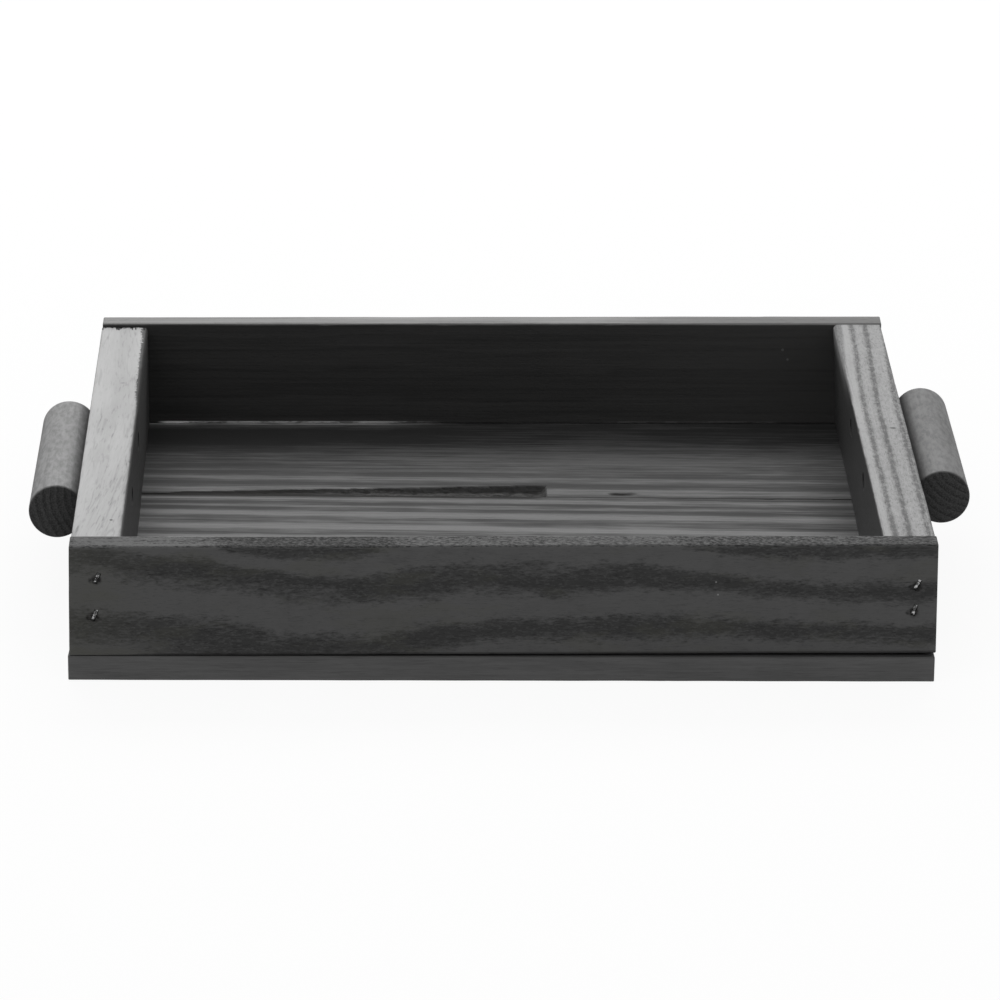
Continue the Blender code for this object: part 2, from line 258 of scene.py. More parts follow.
def screw_hole(fastener):
    """A countersunk hole round a packed screw: a cone from rim to neck, with room at mouth and point."""
    low, high = box_mm(fastener)
    out = DRIVEN_FROM[fastener.split("_")[0]]
    shank, rim, neck, mouth, point, clearance = 2.2, 0.4, 2.7, 2.5, 5.0, 0.3
    head = (high.y - low.y) / 2 + clearance
    face = high.x if out.x > 0 else low.x
    length = high.x - low.x
    profile = [(0.0, mouth), (head, mouth), (head, -rim)]
    profile += [(shank, -neck), (shank, point - length), (0.0, -length - clearance)]
    sides = 24
    shape = bmesh.new()
    rings = []
    for radius, depth in profile:
        ring = []
        for side in range(sides if radius else 1):
            angle = side / sides * math.tau
            y = (low.y + high.y) / 2 + radius * math.cos(angle)
            z = (low.z + high.z) / 2 + radius * math.sin(angle)
            ring.append(shape.verts.new(Vector((face + out.x * depth, y, z)) * MM))
        rings.append(ring)
    for first, second in zip(rings, rings[1:]):
        for side in range(sides):
            after = (side + 1) % sides
            corners = [first[side % len(first)], first[after % len(first)]]
            corners += [second[after % len(second)], second[side % len(second)]]
            shape.faces.new(list(dict.fromkeys(corners)))
    bmesh.ops.recalc_face_normals(shape, faces=shape.faces)
    return shape


def overlap(first, second):
    first_low, first_high = box_mm(first)
    second_low, second_high = box_mm(second)
    return all(
        first_low[axis] < second_high[axis] and second_low[axis] < first_high[axis] for axis in range(3)
    )


def seat_fasteners(piece, node):
    """Cuts the slot or hole of each fastener that goes through a piece."""
    points, faces = [], []
    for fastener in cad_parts:
        if not overlap(fastener, node) or not ("staple" in fastener or "screw" in fastener):
            continue
        shape = staple_slot(fastener) if "staple" in fastener else screw_hole(fastener)
        shape.verts.index_update()
        faces += [[len(points) + vert.index for vert in face.verts] for face in shape.faces]
        points += [vert.co.copy() for vert in shape.verts]
        shape.free()
    mesh = bpy.data.meshes.new("cutter")
    mesh.from_pydata(points, [], faces)
    tool = add_object("cutter", mesh)
    slots = piece.modifiers.new("slots", "BOOLEAN")
    slots.operation = "DIFFERENCE"
    slots.solver = "MANIFOLD"
    slots.object = tool
    with bpy.context.temp_override(object=piece, active_object=piece, selected_objects=[piece]):
        bpy.ops.object.modifier_apply(modifier=slots.name)
    bpy.data.objects.remove(tool)
    bpy.data.meshes.remove(mesh)


def finish_piece(piece, node, material):
    seat_fasteners(piece, node)
    piece.data.set_sharp_from_angle(angle=SHARP_ANGLE)
    piece.data.materials.clear()
    piece.data.materials.append(material)
    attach(piece, "root")
    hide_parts(node)


class Value:
    """A socket of a finish's nodes that takes part in sums like a number."""

    def __init__(self, finish, socket):
        self.finish = finish
        self.socket = socket

    def __add__(self, other):
        return self.finish.maths("ADD", self, other)

    __radd__ = __add__

    def __sub__(self, other):
        return self.finish.maths("SUBTRACT", self, other)

    def __rsub__(self, other):
        return self.finish.maths("SUBTRACT", other, self)

    def __mul__(self, other):
        return self.finish.maths("MULTIPLY", self, other)

    __rmul__ = __mul__

    def __truediv__(self, other):
        return self.finish.maths("DIVIDE", self, other)

    def lowest(self, other):
        return self.finish.maths("MINIMUM", self, other)

    def highest(self, other):
        return self.finish.maths("MAXIMUM", self, other)


class Finish:
    """A material or the world, and the few ways in which this script adds nodes to it."""

    def __init__(self, owner):
        self.owner = owner
        owner.use_nodes = True
        self.tree = owner.node_tree
        self.tree.nodes.clear()

    def node(self, kind, settings=None, sockets=None, out=0):
        """Adds a node with its settings and its sockets' values or links, and gives one of its outputs."""
        node = self.tree.nodes.new(kind)
        for name, value in (settings or {}).items():
            if name == "stops":
                self.set_stops(node.color_ramp, value)
            elif name == "points":
                self.set_points(node.mapping, value)
            else:
                setattr(node, name, value)
        for name, value in (sockets or {}).items():
            if isinstance(value, Value):
                self.tree.links.new(value.socket, node.inputs[name])
            else:
                node.inputs[name].default_value = value
        return Value(self, node.outputs[out]) if node.outputs else None

    def set_stops(self, ramp, stops):
        while len(ramp.elements) < len(stops):
            ramp.elements.new(1.0)
        for element, (position, level) in zip(ramp.elements, stops):
            element.position = position
            element.color = (level, level, level, 1.0)

    def set_points(self, mapping, points):
        curve = mapping.curves[0]
        while len(curve.points) < len(points):
            curve.points.new(1.0, 1.0)
        for point, place in zip(curve.points, points):
            point.location = place
        mapping.update()

    def maths(self, operation, *values):
        return self.node("ShaderNodeMath", {"operation": operation}, dict(enumerate(values)))

    def between(self, value, low, high, new_low=0.0, new_high=1.0):
        """value carried from the range low..high to new_low..new_high, with soft ends."""
        sockets = {"Value": value, "From Min": low, "From Max": high, "To Min": new_low, "To Max": new_high}
        return self.node("ShaderNodeMapRange", {"interpolation_type": "SMOOTHSTEP"}, sockets)

    def fade(self, value, low, high):
        """1 up to low, falling softly to 0 at high."""
        return self.between(value, low, high, 1.0, 0.0)

    def stretch(self, value, start, full, fading, end):
        """1 from full to fading, falling softly to 0 at start and end."""
        return self.between(value, start, full) * self.fade(value, fading, end)

    def ramp(self, value, stops):
        return self.node("ShaderNodeValToRGB", {"stops": stops}, {"Fac": value})

    def curve(self, value, points):
        return self.node("ShaderNodeFloatCurve", {"points": points}, {"Value": value})

    def mix(self, share, first, second):
        """A colour between two colours."""
        return self.node("ShaderNodeMix", {"data_type": "RGBA"}, {0: share, 6: first, 7: second}, out=2)

    def noise(self, place, scale, detail, roughness=0.5):
        sockets = {"Vector": place, "Scale": scale, "Detail": detail, "Roughness": roughness}
        return self.node("ShaderNodeTexNoise", None, sockets)

    def seen(self, camera_share=1.0):
        """1 for rays from the camera and off gloss or glass, 0 for light that falls on other pieces."""
        rays = self.node("ShaderNodeLightPath").socket.node.outputs
        kinds = ("Camera", "Glossy", "Transmission")
        camera, glossy, passed = (Value(self, rays[f"Is {kind} Ray"]) for kind in kinds)
        return (camera * camera_share + glossy + passed).lowest(1.0)

    def shade(self, **inputs):
        """Joins a Principled shader to the material's output, its inputs named in words."""
        names = {"ior_level": "Specular IOR Level"}
        sockets = {names.get(name, name.replace("_", " ").title()): value for name, value in inputs.items()}
        shader = self.node("ShaderNodeBsdfPrincipled", None, sockets)
        self.node("ShaderNodeOutputMaterial", None, {"Surface": shader})
        return self.owner


def grey(level, warmth=0.0):
    """A neutral tone, a little brown where warmth is above 0."""
    return (level * (1.0 + warmth), level, level * (1.0 - 1.4 * warmth), 1.0)


class Timber(Finish):
    """Black stain on open-pored timber. Its places are in millimetres along the grain, across it and up."""

    def __init__(self, name, seed, along="x"):
        super().__init__(bpy.data.materials.new(name))
        self.along = along
        self.seed = seed
        made_at = self.node("ShaderNodeTexCoord", out=3)
        to_mm = {"Vector": made_at, "Scale": (1 / MM, 1 / MM, 1 / MM)}
        self.place = self.node("ShaderNodeMapping", None, to_mm)
        self.x, self.y, self.z = self.parts(self.place)
        self.grain_place = self.place
        self.length, self.across = (self.x, self.y) if along == "x" else (self.y, self.x)
        normal = self.node("ShaderNodeNewGeometry", out=1)
        self.normal_x, self.normal_y, self.normal_z = self.parts(normal)
        self.worn = self.node("ShaderNodeAttribute", {"attribute_name": "worn"}, out=2)

    def parts(self, vector):
        split = self.node("ShaderNodeSeparateXYZ", None, {"Vector": vector}).socket.node
        return [Value(self, socket) for socket in split.outputs]

    def bend_grain(self, shift):
        """Moves the grain across by a shift in millimetres that differs from place to place."""
        self.across = self.across + shift
        x, y = (self.length, self.across) if self.along == "x" else (self.across, self.length)
        self.grain_place = self.node("ShaderNodeCombineXYZ", None, {"X": x, "Y": y, "Z": self.z})

    def grain(self, length_rate, across_rate, detail, roughness, shift):
        """Noise drawn out along the grain; the rates are turns a millimetre."""
        rates = (length_rate, across_rate, across_rate)
        if self.along == "y":
            rates = (across_rate, length_rate, across_rate)
        start = self.seed + shift
        sockets = {"Vector": self.grain_place, "Location": (start, start * 1.7, start * 0.6), "Scale": rates}
        place = self.node("ShaderNodeMapping", None, sockets)
        return self.noise(place, 1.0, detail, roughness)

    def spot(self, place, radius, soft=0.4):
        """1 at a place in millimetres, 0 beyond radius."""
        places = {0: self.place, 1: place}
        distance = self.node("ShaderNodeVectorMath", {"operation": "DISTANCE"}, places, out=1)
        return self.fade(distance, radius * (1 - soft), radius)

    def slit(self, start, end, y, half_width):
        """1 in a thin lens that runs along X, 0 round it; millimetres."""
        ends = self.stretch(self.x, start, start + half_width * 2, end - half_width * 4, end)
        side = self.maths("ABSOLUTE", self.y - y)
        return ends * self.fade(side, half_width * 0.4, half_width)

    def pith_distance(self, across, height):
        """How far a place is from the tree's pith line, which lies beside the piece."""
        side = self.across - across
        rise = self.z - height
        return self.maths("SQRT", side * side + rise * rise)

    def rings(self, distance, spacing, late):
        """Year rings: 0 in the pale early wood, 1 at the hard late edge."""
        phase = self.maths("FRACT", distance / spacing)
        stops = ((0.0, 0.0), (1.0 - late * 2, 0.15), (1.0 - late * 0.4, 1.0), (1.0, 0.0))
        return self.ramp(phase, stops)

    def stain(
        self,
        figure,
        tone,
        deep,
        painted_sheen_tone,
        painted_sheen_deep,
        painted_sheen_share=1.0,
        upward=(0.6, 0.97),
        gloss=(0.5, 0.65),
        top_gloss=(0.45, 0.6),
        ior_level=0.4,
        fibre_level=0.5,
        fibre_rates=(0.035, 2.4),
        pore_level=0.3,
        pore_rates=(0.22, 2.6),
        worn_tone=0.06,
        worn_share=0.6,
        warmth=0.0,
        relief=0.3,
        relief_share=1.0,
        marks_and_shade=None,
        marks_and_shade_depth=0.5,
        light=None,
        light_tone=0.35,
        tint=None,
    ):
        """The finish. figure runs from 0 for pale wood to 1 for dark. The dark mask deepens it with dark
        marks, joints and painted shade, the pale mask adds bare flecks and painted light, and tint is where
        the stain turns olive.
        Faces that look up take a paler copy of the stain by the top share: a painted sheen."""
        fibre = self.grain(*fibre_rates, 4.0, 0.65, 1.0)
        fine = self.grain(0.12, 6.0, 2.0, 0.5, 2.0)
        pore = self.grain(*pore_rates, 1.5, 0.5, 3.0)
        cloud = self.grain(0.025, 0.06, 3.0, 0.55, 4.0)
        open_pores = self.between(pore, 0.57, 0.68) * self.between(figure, 0.0, 0.6, 0.3, 1.0) * pore_level
        dark = figure + (fibre - 0.5) * fibre_level + (fine - 0.5) * (fibre_level * 0.5) + (cloud - 0.5) * 0.4
        dark = dark.highest(0.0).lowest(1.0)
        # Painted sheen: faces that look up get a paler copy of the stain, standing in for light glancing off
        # them
        up = self.between(self.normal_z, *upward) * painted_sheen_share
        side_colour = self.mix(dark, grey(tone, warmth), grey(deep, warmth))
        painted_sheen_colour = self.mix(dark, grey(painted_sheen_tone, warmth), grey(painted_sheen_deep, warmth))
        colour = self.mix(up, side_colour, painted_sheen_colour)
        rubbed = self.worn * self.between(fibre, 0.42, 0.62) * worn_share
        colour = self.mix(rubbed, colour, grey(worn_tone, warmth))
        colour = self.mix(open_pores, colour, grey(deep * 0.45, warmth))
        if tint is not None:
            colour = self.mix(tint, colour, (tone * 0.82, tone * 0.82, tone * 0.62, 1.0))
        # The dark mask: dark marks and joints, and painted shade in slots, gaps and recesses
        if marks_and_shade is not None:
            colour = self.mix(marks_and_shade, colour, grey(deep * marks_and_shade_depth, warmth + 0.05))
        # The pale mask: bare flecks of wood, and painted light in places
        if light is not None:
            colour = self.mix(light, colour, grey(light_tone))
        side_gloss = self.between(dark, 0.0, 1.0, *gloss)
        top_rough = self.between(dark, 0.0, 1.0, *top_gloss)
        roughness = side_gloss + (top_rough - side_gloss) * up + open_pores * 0.15
        if marks_and_shade is not None:
            roughness = (roughness + marks_and_shade * 0.45).lowest(1.0)
        profile = fibre * 0.5 + fine * 0.25 - open_pores * 0.8 - figure * 0.25
        sockets = {"Strength": relief, "Distance": 0.25 * MM, "Height": profile * relief_share}
        bump = self.node("ShaderNodeBump", None, sockets)
        return self.shade(base_color=colour, roughness=roughness, ior_level=ior_level, normal=bump)


# The front board's dark bands: share of its length, and share of the band height over its foot
BAND_HEIGHT = 50.0
UPPER_BAND = (
    (0.0, 0.94), (0.05, 0.87), (0.08, 0.81), (0.16, 0.78), (0.21, 0.73), (0.27, 0.67), (0.34, 0.61),
    (0.42, 0.65), (0.48, 0.67), (0.56, 0.63), (0.635, 0.70), (0.70, 0.66), (0.76, 0.64), (0.81, 0.59),
    (0.90, 0.55), (1.0, 0.57),
)
LOWER_BAND = (
    (0.0, 0.25), (0.05, 0.24), (0.12, 0.185), (0.19, 0.105), (0.255, 0.045), (0.325, 0.04), (0.36, 0.08),
    (0.43, 0.16), (0.49, 0.205), (0.55, 0.21), (0.66, 0.228), (0.74, 0.22), (0.80, 0.20), (0.90, 0.18),
    (1.0, 0.16),
)
TOP_BAND = (
    (0.0, 1.30), (0.15, 1.15), (0.185, 0.97), (0.24, 0.92), (0.32, 0.93), (0.36, 1.06), (0.42, 1.25),
    (0.66, 1.20), (0.73, 0.98), (0.80, 0.92), (0.90, 0.92), (1.0, 0.95),
)
# How dark the board is over its height: 0.30 is the lower band, 0.63 the upper and 0.97 the top one
BAND_STOPS = (
    (0.0, 0.25), (0.13, 0.15), (0.21, 0.05), (0.25, 0.6), (0.29, 0.95), (0.335, 0.9), (0.37, 0.45),
    (0.40, 0.0), (0.52, 0.0), (0.565, 0.6), (0.61, 1.0), (0.67, 0.8), (0.73, 0.0), (0.86, 0.0), (0.92, 0.8),
    (1.0, 0.9),
)


def staple_marks(wood, face):
    """Dark marks round the heads of the staples that were driven from one face: bruised wood and painted
    shade of their slots.
    """
    marks = []
    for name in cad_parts:
        if name.startswith(f"{face}_staple"):
            low, high = box_mm(name)
            centre = (low + high) / 2
            y = low.y if face == "front" else high.y
            marks.append(wood.spot((centre.x - 0.3, y, centre.z - 0.8), radius=2.9, soft=0.5))
            marks.append(wood.spot((centre.x - 2.6, y, centre.z - 1.0), radius=1.7, soft=0.6))
    broken = wood.between(wood.grain(0.7, 1.1, 2.0, 0.5, 8.0), 0.35, 0.6, 0.45, 1.0)
    return functools.reduce(Value.highest, marks) * broken


def front_board_stain():
    wood = Timber("front_board_stain", seed=3.1)
    low, high = box_mm("front_board")
    share = (wood.length - low.x) / (high.x - low.x)
    rise = share * FRONT_RISE
    over_foot = wood.z - rise + wood.across * 0.25 - (low.z + low.y * 0.25)
    upper = wood.curve(share, UPPER_BAND) * BAND_HEIGHT
    lower = wood.curve(share, LOWER_BAND) * BAND_HEIGHT
    top = wood.curve(share, TOP_BAND) * BAND_HEIGHT
    level = (over_foot - lower) / (upper - lower)
    over_upper = (over_foot - upper) / (top - upper)
    left_part = wood.stretch(share, 0.03, 0.14, 0.36, 0.46)
    under_band = wood.between(level, -0.1, 0.05, 0.85, 0.0) * left_part
    level = level.lowest(1.0) + over_upper.highest(0.0)
    drift = (wood.grain(0.05, 0.16, 3.0, 0.6, 5.0) - 0.5) * 0.4
    ragged = (wood.grain(0.3, 0.9, 3.0, 0.65, 6.0) - 0.5) * 0.5
    position = (level + drift + ragged) / 3.0 + 0.30
    speckle = wood.between(wood.grain(0.5, 1.2, 2.0, 0.6, 9.0), 0.48, 0.68)
    patches = wood.between(wood.grain(0.14, 0.22, 3.0, 0.6, 10.0), 0.4, 0.65) * 0.12
    band = wood.ramp(position, BAND_STOPS).highest(under_band) * (1.0 - speckle * 0.4) + patches
    rim = wood.between(wood.normal_z, 0.2, 0.7)
    mottle = wood.grain(0.55, 1.4, 3.0, 0.7, 7.0)
    pale_end = wood.fade(share, 0.03, 0.2)
    rim_lines = wood.between(wood.grain(0.02, 1.3, 2.0, 0.5, 11.0), 0.48, 0.6)
    rim_lines = rim_lines * wood.fade(share, 0.12, 0.24)
    rim_figure = wood.between(mottle, 0.38, 0.62, -0.1, 0.85) - rim_lines * 0.6 - share * 0.2
    rim_figure = rim_figure + wood.stretch(share, 0.2, 0.35, 0.7, 0.9) * 0.04
    olive = wood.between(wood.grain(0.03, 0.1, 3.0, 0.6, 12.0), 0.5, 0.65) * 0.25
    olive = (olive + wood.between(share, 0.0, 0.12, 0.25, 0.0)) * (1.0 - rim)
    flecks = wood.spot((87.7, low.y, 44.0), 0.5).highest(wood.spot((88.6, low.y, 38.4), 0.5)) * 0.35
    rear_arris = wood.between(wood.y, high.y - 1.1, high.y - 0.6) * rim
    bare = rear_arris * wood.stretch(wood.x, -152.0, -140.0, -95.0, -30.0)
    bare = bare * wood.between(mottle, 0.35, 0.5) * 0.45
    # Painted shade of the gap at the board's foot, all along but the left end
    foot = wood.fade(over_foot, 0.6, 1.2) * wood.between(share, 0.06, 0.12) * 0.5
    return wood.stain(
        band * 0.95 * (1.0 - rim * 0.6) + rim * rim_figure + 0.03 - pale_end * 0.17,
        tone=0.0545,
        deep=0.012,
        painted_sheen_tone=0.064,
        painted_sheen_deep=0.006,
        upward=(0.2, 0.7),
        top_gloss=(0.6, 0.85),
        fibre_rates=(0.10, 1.8),
        pore_level=0.6,
        pore_rates=(0.36, 2.1),
        ior_level=0.32,
        marks_and_shade=staple_marks(wood, "front").highest(foot),
        light=flecks.highest(bare),
        tint=olive,
    )


def back_board_stain():
    wood = Timber("back_board_stain", seed=11.7)
    low, high = box_mm("back_board")
    distance = wood.pith_distance(across=172.0, height=30.0)
    distance = distance + (wood.grain(0.006, 0.04, 3.0, 0.6, 5.0) - 0.5) * 9.0
    rings = wood.rings(distance, spacing=3.6, late=0.35)
    lines = wood.between(wood.grain(0.01, 0.8, 3.0, 0.6, 6.0), 0.4, 0.62)
    inside = wood.fade(wood.normal_y, -0.9, -0.4)
    towards_right = wood.between(wood.x, 20.0, 150.0)
    rim = wood.between(wood.normal_z, 0.6, 0.97)
    specks = wood.spot((134.5, low.y, 47.3), 0.8).highest(wood.spot((136.9, low.y, 42.6), 0.7)) * 0.055
    left_stretch = wood.stretch(wood.x, -156.0, -150.0, -60.0, -20.0)
    right_stretch = wood.stretch(wood.x, 50.0, 62.0, 128.0, 134.0) * 0.05
    bright_end = wood.fade(wood.x, -142.0, -136.0) * 0.5
    broken = wood.between(wood.grain(0.09, 0.3, 3.0, 0.7, 7.0), 0.40, 0.54, 0.3, 1.0)
    # Painted light: a bright broken line along the foot of the inner face, at the gap over the planks
    painted_foot_light = wood.fade(wood.z, low.z + 0.6, low.z + 1.1) * inside * broken
    painted_foot_light = painted_foot_light * (left_stretch * (0.45 + bright_end) + right_stretch)
    rim_streaks = (wood.between(wood.grain(0.015, 0.9, 3.0, 0.6, 8.0), 0.35, 0.65) - 0.5) * rim * 0.7
    rear_strip = wood.between(wood.y, high.y - 3.2, high.y - 2.2) * rim
    middle_part = wood.between(wood.x, -100.0, -80.0) * wood.between(wood.x, -40.0, 0.0, 0.07, 0.02)
    rear_strip = rear_strip * (middle_part + 0.02)
    # Painted shade: the inner face is darker, most at the left and less to the right, and the rim's painted
    # sheen fades towards the right
    figure = rings * 0.3 + lines * 0.25 + inside * (0.45 - towards_right * 0.7)
    return wood.stain(
        figure + rim * towards_right * 1.05 + rim_streaks,
        tone=0.034,
        deep=0.010,
        painted_sheen_tone=0.172,
        painted_sheen_deep=0.11,
        upward=(0.0, 0.4),
        gloss=(0.5, 0.6),
        fibre_level=0.4,
        warmth=0.01,
        ior_level=0.35,
        light=specks.highest(painted_foot_light).highest(rear_strip),
        light_tone=0.9,
        marks_and_shade=staple_marks(wood, "back"),
    )


def left_block_stain():
    wood = Timber("left_block_stain", along="y", seed=17.3)
    wood.bend_grain((50.0 - wood.y) * (50.0 - wood.y) * 0.00035)
    low, high = box_mm("left_end_block")
    top = wood.between(wood.normal_z, 0.6, 0.97)
    zones = wood.grain(0.007, 0.10, 3.0, 0.55, 8.0)
    lines = wood.fade(wood.maths("ABSOLUTE", zones - 0.5), 0.0, 0.022)
    lines = lines * wood.between(wood.grain(0.05, 0.4, 3.0, 0.6, 11.0), 0.4, 0.58)
    pale_zone = wood.between(wood.y, 15.0, 45.0) * wood.fade(wood.x, -174.0, -169.0)
    figure = wood.between(zones, 0.3, 0.7, 0.1, 0.34) + lines * 0.3
    figure = figure + wood.fade(wood.y, -100.0, -30.0) * 0.08 - pale_zone * 0.2
    teeth = wood.grain(0.02, 0.8, 2.0, 0.6, 9.0)
    from_end = high.y - wood.y
    torn = wood.fade(from_end - wood.between(teeth, 0.44, 0.6) * 4.5, -0.2, 0.3)
    torn = torn * wood.between(wood.z, high.z - 5.0, high.z - 2.5)
    marks = torn.highest(wood.spot((-167.2, 61.2, high.z), 1.6, 0.9) * 0.3)
    marks = marks.highest(wood.spot((-164.5, -114.6, high.z), 0.9) * 0.8)
    wane = wood.between(wood.y, 15.0, 60.0) * 1.7 + wood.between(wood.y, 122.0, 138.0) * 0.9
    chips = (wood.grain(0.55, 0.8, 2.0, 0.6, 10.0) - 0.5) * 4.0
    sawn_edge = wood.fade(high.x - wood.x - wane + chips, -0.3, 0.4) * wood.between(wood.y, 10.0, 50.0)
    marks = marks.highest(sawn_edge * 0.8)
    return wood.stain(
        figure * top + (1.0 - top) * 0.3,
        tone=0.026,
        deep=0.012,
        painted_sheen_tone=0.385,
        painted_sheen_deep=0.17,
        painted_sheen_share=wood.between(wood.z, high.z - 6.0, high.z - 3.0),
        fibre_level=0.42,
        fibre_rates=(0.05, 1.2),
        pore_rates=(0.12, 1.1),
        worn_tone=0.10,
        worn_share=0.3,
        marks_and_shade=marks,
    )


# The right block's long stripes: share of its thickness from its inner face, and how dark
STRIPE_STOPS = (
    (0.0, 0.05), (0.16, 0.0), (0.20, 0.3), (0.245, 0.85), (0.29, 0.85), (0.33, 0.35), (0.38, 0.2),
    (0.46, 0.3), (0.505, 0.6), (0.53, 0.95), (0.58, 0.95), (0.62, 0.35), (0.68, 0.22), (0.83, 0.25),
    (0.87, 0.45), (0.90, 0.85), (0.95, 0.9), (0.98, 0.5), (1.0, 0.7),
)


def right_block_stain():
    wood = Timber("right_block_stain", along="y", seed=23.9)
    low, high = box_mm("right_end_block")
    drift = (wood.grain(0.01, 0.02, 2.0, 0.5, 5.0) - 0.5) * 2.0
    drift = drift + (wood.grain(0.2, 0.5, 2.0, 0.5, 6.0) - 0.5) * 0.7
    share = (wood.across - low.x + drift) / (high.x - low.x)
    share = share - wood.between(wood.y, 20.0, 140.0) * 0.12 + 0.035
    mottle = wood.grain(0.3, 0.8, 3.0, 0.65, 7.0)
    figure = wood.ramp(share, STRIPE_STOPS) * wood.between(mottle, 0.3, 0.6, 0.55, 1.05)
    figure = figure + wood.between(mottle, 0.45, 0.65) * 0.12 + wood.fade(wood.y, -40.0, 60.0) * 0.08
    from_arris = wood.x - low.x
    towards_rear = wood.between(wood.y, 37.0, 140.0)
    dull_edge = wood.fade(from_arris - towards_rear * 3.2, -0.6, 0.8) * towards_rear * 0.6
    inner_face = wood.fade(wood.normal_x, -0.9, -0.5)
    # The inner face is paler in a band below its top, over the middle of its length
    rubbed = inner_face * wood.between(wood.z, high.z - 12.0, high.z) * wood.between(wood.y, 35.0, 105.0)
    rubbed = rubbed * wood.between(mottle, 0.3, 0.6, 0.6, 1.0) * 0.6
    nicks = wood.spot((low.x, 42.9, 43.5), 0.9).highest(wood.spot((low.x, 33.5, 33.6), 0.8))
    nicks = nicks.highest(wood.spot((low.x, -29.2, 46.4), 1.0)) * 0.03
    return wood.stain(
        figure + dull_edge,
        tone=0.026,
        deep=0.012,
        painted_sheen_tone=0.28,
        painted_sheen_deep=0.05,
        painted_sheen_share=wood.between(wood.z, high.z - 6.0, high.z - 3.0),
        pore_level=0.5,
        pore_rates=(0.3, 1.8),
        worn_tone=0.10,
        marks_and_shade=wood.spot((173.2, -3.3, high.z), 1.9, 0.7) * 0.6,
        light=rubbed.highest(nicks),
    )


# The planks' streaks: share of their width back from where they start, and how dark
MIDDLE_STREAKS = (
    (0.0, 0.5), (0.067, 0.8), (0.124, 0.3), (0.181, 0.7), (0.248, 0.45), (0.305, 0.8), (0.357, 0.6),
    (0.395, 0.3), (0.413, 0.0), (0.433, 0.3), (0.452, 0.62), (0.495, 0.62), (0.514, 0.5), (0.528, 0.08),
    (0.56, 0.0), (0.575, 0.35), (0.593, 0.66), (0.663, 0.68), (0.679, 0.45), (0.691, 0.15), (0.714, 0.0),
    (0.736, 0.35), (0.752, 0.85), (0.771, 1.0), (0.805, 0.48), (0.843, 0.98), (0.862, 0.62), (0.879, 0.35),
    (0.893, 0.12), (0.91, 0.55), (0.922, 0.82), (1.0, 0.6),
)
REAR_STREAKS = (
    (0.0, 0.5), (0.043, 0.28), (0.071, 0.30), (0.086, 0.60), (0.124, 0.95), (0.162, 0.55), (0.195, 0.38),
    (0.219, 0.48), (0.243, 0.9), (0.267, 0.8), (0.295, 0.57), (0.343, 0.70), (0.39, 0.5), (0.42, 0.62),
    (0.45, 0.45), (0.533, 0.62), (0.629, 0.66), (0.724, 0.84), (0.867, 0.86), (1.0, 0.8),
)
PLANK_SEEDS = {"front": 31.3, "middle": 37.1, "rear": 41.9}
STREAKS_START = {"front": -157.0, "middle": -57.0, "rear": 44.0}
STREAKS_WIDTH = 105.0


def joint_line(wood, place):
    """The dark joint of the middle and the rear plank, on the one or the other."""
    node = f"bottom_plank_{place}"
    low, high = box_mm(node)
    left, right = (edges[0 if place == "rear" else 1] for edges in plank_edges(node))
    edge = (wood.x - low.x) * ((right - left) / (high.x - low.x)) + left
    from_edge = wood.maths("ABSOLUTE", wood.y - edge)
    if place == "rear":
        return wood.fade(from_edge, 0.4, 1.3) * wood.between(wood.x, -104.0, -60.0, 1.0, 0.15)
    wide = wood.between(wood.x, 15.0, 25.0, 1.1, 0.0)
    return wood.fade(from_edge - wide, 0.4, 1.3) * wood.between(wood.x, 15.0, 25.0, 0.9, 0.15)


def torn_strip_shade(wood):
    """The painted shade in the strip torn from the rear plank, speckled and deepest on its upward faces."""
    torn = wood.node("ShaderNodeAttribute", {"attribute_name": "torn"}, out=2)
    rough = wood.between(wood.grain(0.45, 1.0, 3.0, 0.65, 8.0), 0.38, 0.62, 1.0, 0.75)
    speckled = rough.highest(wood.fade(wood.x, -90.0, -20.0))
    return wood.between(torn, 0.0, 0.3) * speckled * wood.between(wood.normal_z, 0.4, 0.9, 0.7, 1.0)


def rear_light(wood, high):
    """The lighter strip in front of the back board, towards the left."""
    strip = wood.between(wood.y, high.y - 12.0, high.y - 10.0) * 0.6
    strip = strip + wood.between(wood.y, high.y - 19.0, high.y - 11.0) * 0.2
    strip = strip * wood.fade(wood.x, -60.0, -10.0) * wood.fade(wood.y, high.y - 7.5, high.y - 6.5)
    return strip * wood.between(wood.grain(0.05, 0.4, 3.0, 0.6, 9.0), 0.4, 0.55, 0.5, 1.0)


